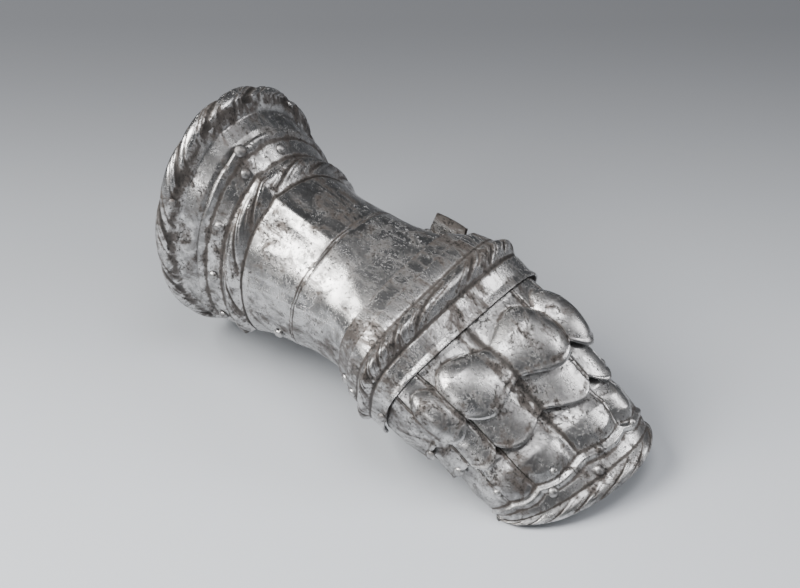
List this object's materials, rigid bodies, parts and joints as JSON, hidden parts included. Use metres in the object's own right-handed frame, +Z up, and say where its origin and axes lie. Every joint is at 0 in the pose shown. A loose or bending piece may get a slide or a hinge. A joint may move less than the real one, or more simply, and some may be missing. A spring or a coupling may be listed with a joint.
{
  "type": "plate armour gauntlet",
  "caption": "Steel mitten gauntlet with a flared roped cuff, riveted lames over the hand and fluted lames over the fingers, and a hinged thumb defence; it lies dorsal side up.",
  "frame": {"origin": "centre of the bottom of the bounding box, on the surface that the gauntlet lies on", "axes": "+X from the cuff to the finger tips, +Y from the little finger's side to the thumb's side, +Z up out of the back of the hand"},
  "size_m": [0.2872, 0.1338, 0.1656],
  "materials": {
    "steel": "old polished steel with brown and black pitting",
    "rivet_steel": "worn steel, darker than the plates"
  },
  "bodies": {
    "cuff": {"cuff_bell": "steel", "dorsal_plate": "steel", "palmar_plate": "steel", "thumb_hinge_leaf": "steel", "thumb_hinge_pin": "steel", "cuff_rivet_1": "rivet_steel", "cuff_rivet_2": "rivet_steel", "cuff_rivet_3": "rivet_steel", "cuff_rivet_4": "rivet_steel", "cuff_rivet_5": "rivet_steel", "cuff_rivet_6": "rivet_steel", "side_rivet_1": "rivet_steel", "side_rivet_2": "rivet_steel", "leaf_rivet_1": "rivet_steel", "leaf_rivet_2": "rivet_steel"},
    "hand": {"hand_lame": "steel", "pivot_hand_near": "rivet_steel", "pivot_hand_far": "rivet_steel"},
    "knuckle": {"knuckle_plate": "steel", "pivot_knuckle_near": "rivet_steel", "pivot_knuckle_far": "rivet_steel", "pivot_finger_1_near": "rivet_steel", "pivot_finger_1_far": "rivet_steel"},
    "finger_1": {"finger_lame_1": "steel", "pivot_finger_2_near": "rivet_steel", "pivot_finger_2_far": "rivet_steel"},
    "finger_2": {"finger_lame_2": "steel", "pivot_finger_3_near": "rivet_steel", "pivot_finger_3_far": "rivet_steel"},
    "finger_tip": {"finger_tip_plate": "steel"},
    "thumb": {"thumb_base": "steel", "thumb_tip": "steel", "thumb_rivet_1": "rivet_steel", "thumb_rivet_2": "rivet_steel"}
  },
  "joints": [
    {"name": "hand_flex", "type": "hinge", "parent": "cuff", "child": "hand", "pos_m": [-0.00607, 0.00275, 0.06427], "axis": [0, 0.9781, 0.2079], "range_deg": [0, 8]},
    {"name": "knuckle_flex", "type": "hinge", "parent": "hand", "child": "knuckle", "pos_m": [0.00453, 0.0026, 0.06495], "axis": [0, 0.9781, 0.2079], "range_deg": [0, 10]},
    {"name": "finger_1_flex", "type": "hinge", "parent": "knuckle", "child": "finger_1", "pos_m": [0.03243, 0.00231, 0.06632], "axis": [0.03, 0.9777, 0.2078], "range_deg": [0, 10]},
    {"name": "finger_2_flex", "type": "hinge", "parent": "finger_1", "child": "finger_2", "pos_m": [0.06513, 0.0063, 0.04754], "axis": [0.0995, 0.9733, 0.2069], "range_deg": [0, 10]},
    {"name": "finger_tip_flex", "type": "hinge", "parent": "finger_2", "child": "finger_tip", "pos_m": [0.08413, 0.00786, 0.0402], "axis": [0.158, 0.9659, 0.2053], "range_deg": [0, 10]},
    {"name": "thumb_swing", "type": "hinge", "parent": "cuff", "child": "thumb", "pos_m": [-0.02437, 0.05358, 0.07906], "axis": [1, 0, 0], "range_deg": [0, 30]}
  ]
}
